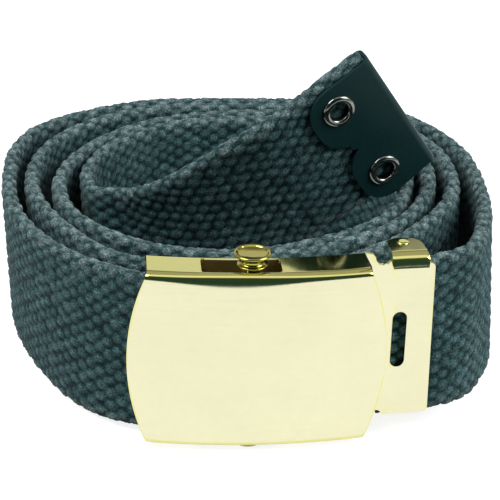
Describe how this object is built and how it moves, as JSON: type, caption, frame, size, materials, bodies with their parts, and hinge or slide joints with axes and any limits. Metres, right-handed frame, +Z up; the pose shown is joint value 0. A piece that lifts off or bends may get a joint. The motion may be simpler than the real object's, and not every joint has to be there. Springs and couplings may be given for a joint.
{
  "type": "web belt",
  "caption": "Woven cotton web belt coiled on its edge, fastened by a bowed brass box buckle with a sliding locking bar; its free end has a black tip with eyelets.",
  "frame": {"origin": "on the floor, under the middle of the coiled belt's outline", "axes": "+Z up, across the webbing as it stands on its edge; the buckle's face looks towards -Y; +X is to the right of a viewer of that face"},
  "size_m": [0.125, 0.13, 0.0764],
  "materials": {
    "cotton": "plain weave of thick cotton yarn, slate grey-green",
    "brass": "polished pale brass, faintly brushed along the face",
    "black_tip": "gloss black",
    "nickel": "bright nickel"
  },
  "bodies": {
    "root": {"webbing": "cotton", "buckle_cover": "brass", "buckle_frame": "brass", "locking_bar": "brass", "clamp_plate": "brass", "hinge_pin": "brass", "end_tip": "black_tip", "eyelet_upper": "nickel", "eyelet_lower": "nickel"}
  },
  "joints": []
}
